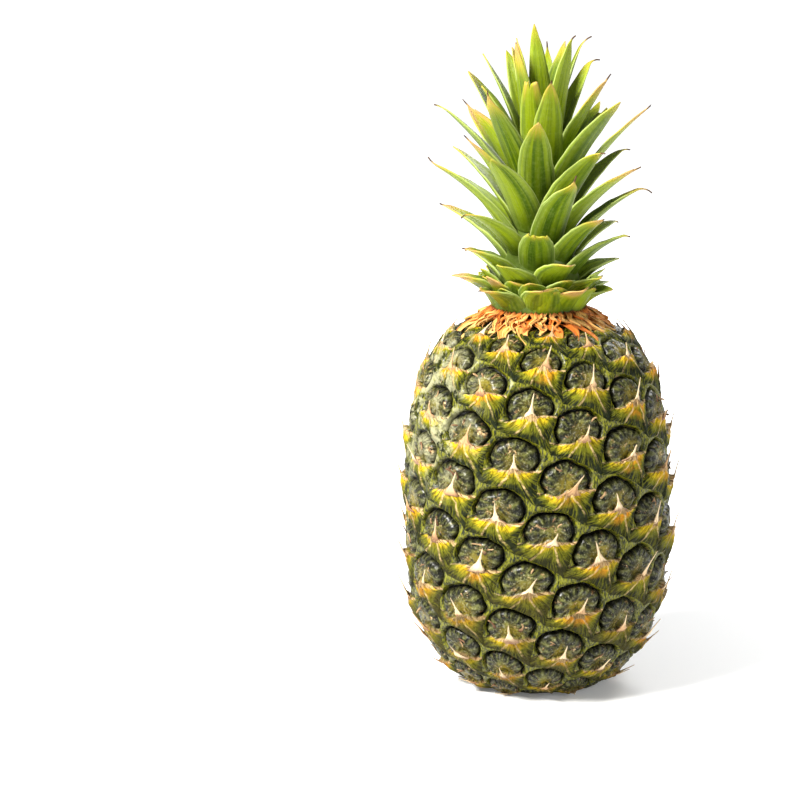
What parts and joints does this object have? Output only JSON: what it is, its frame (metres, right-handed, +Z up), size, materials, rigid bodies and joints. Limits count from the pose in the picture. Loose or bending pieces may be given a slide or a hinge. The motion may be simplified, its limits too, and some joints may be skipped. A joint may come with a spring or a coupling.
{
  "type": "pineapple",
  "caption": "Whole ripe pineapple standing upright, with a raised diamond-pattern skin, a dry bract collar and a leafy crown.",
  "frame": {"origin": "centre of the flat spot under the fruit, on the surface that it stands on", "axes": "+Z up along the fruit's axis, towards the crown; -Y is the side that the picture shows"},
  "size_m": [0.1264, 0.1267, 0.2975],
  "materials": {
    "fruit_skin": "waxy green and gold fruit rind, dark green between, slightly glossy",
    "cut_stalk": "dry fibrous cut stalk, tan and matte",
    "dry_bracts": "dry papery bracts, orange tan with darker edges",
    "crown_leaf": "stiff waxy leaf, bright yellow green with a pale bloom and dry tips"
  },
  "bodies": {
    "root": {"fruit": "fruit_skin", "stalk": "cut_stalk", "neck_bracts": "dry_bracts", "crown": "crown_leaf"}
  },
  "joints": []
}
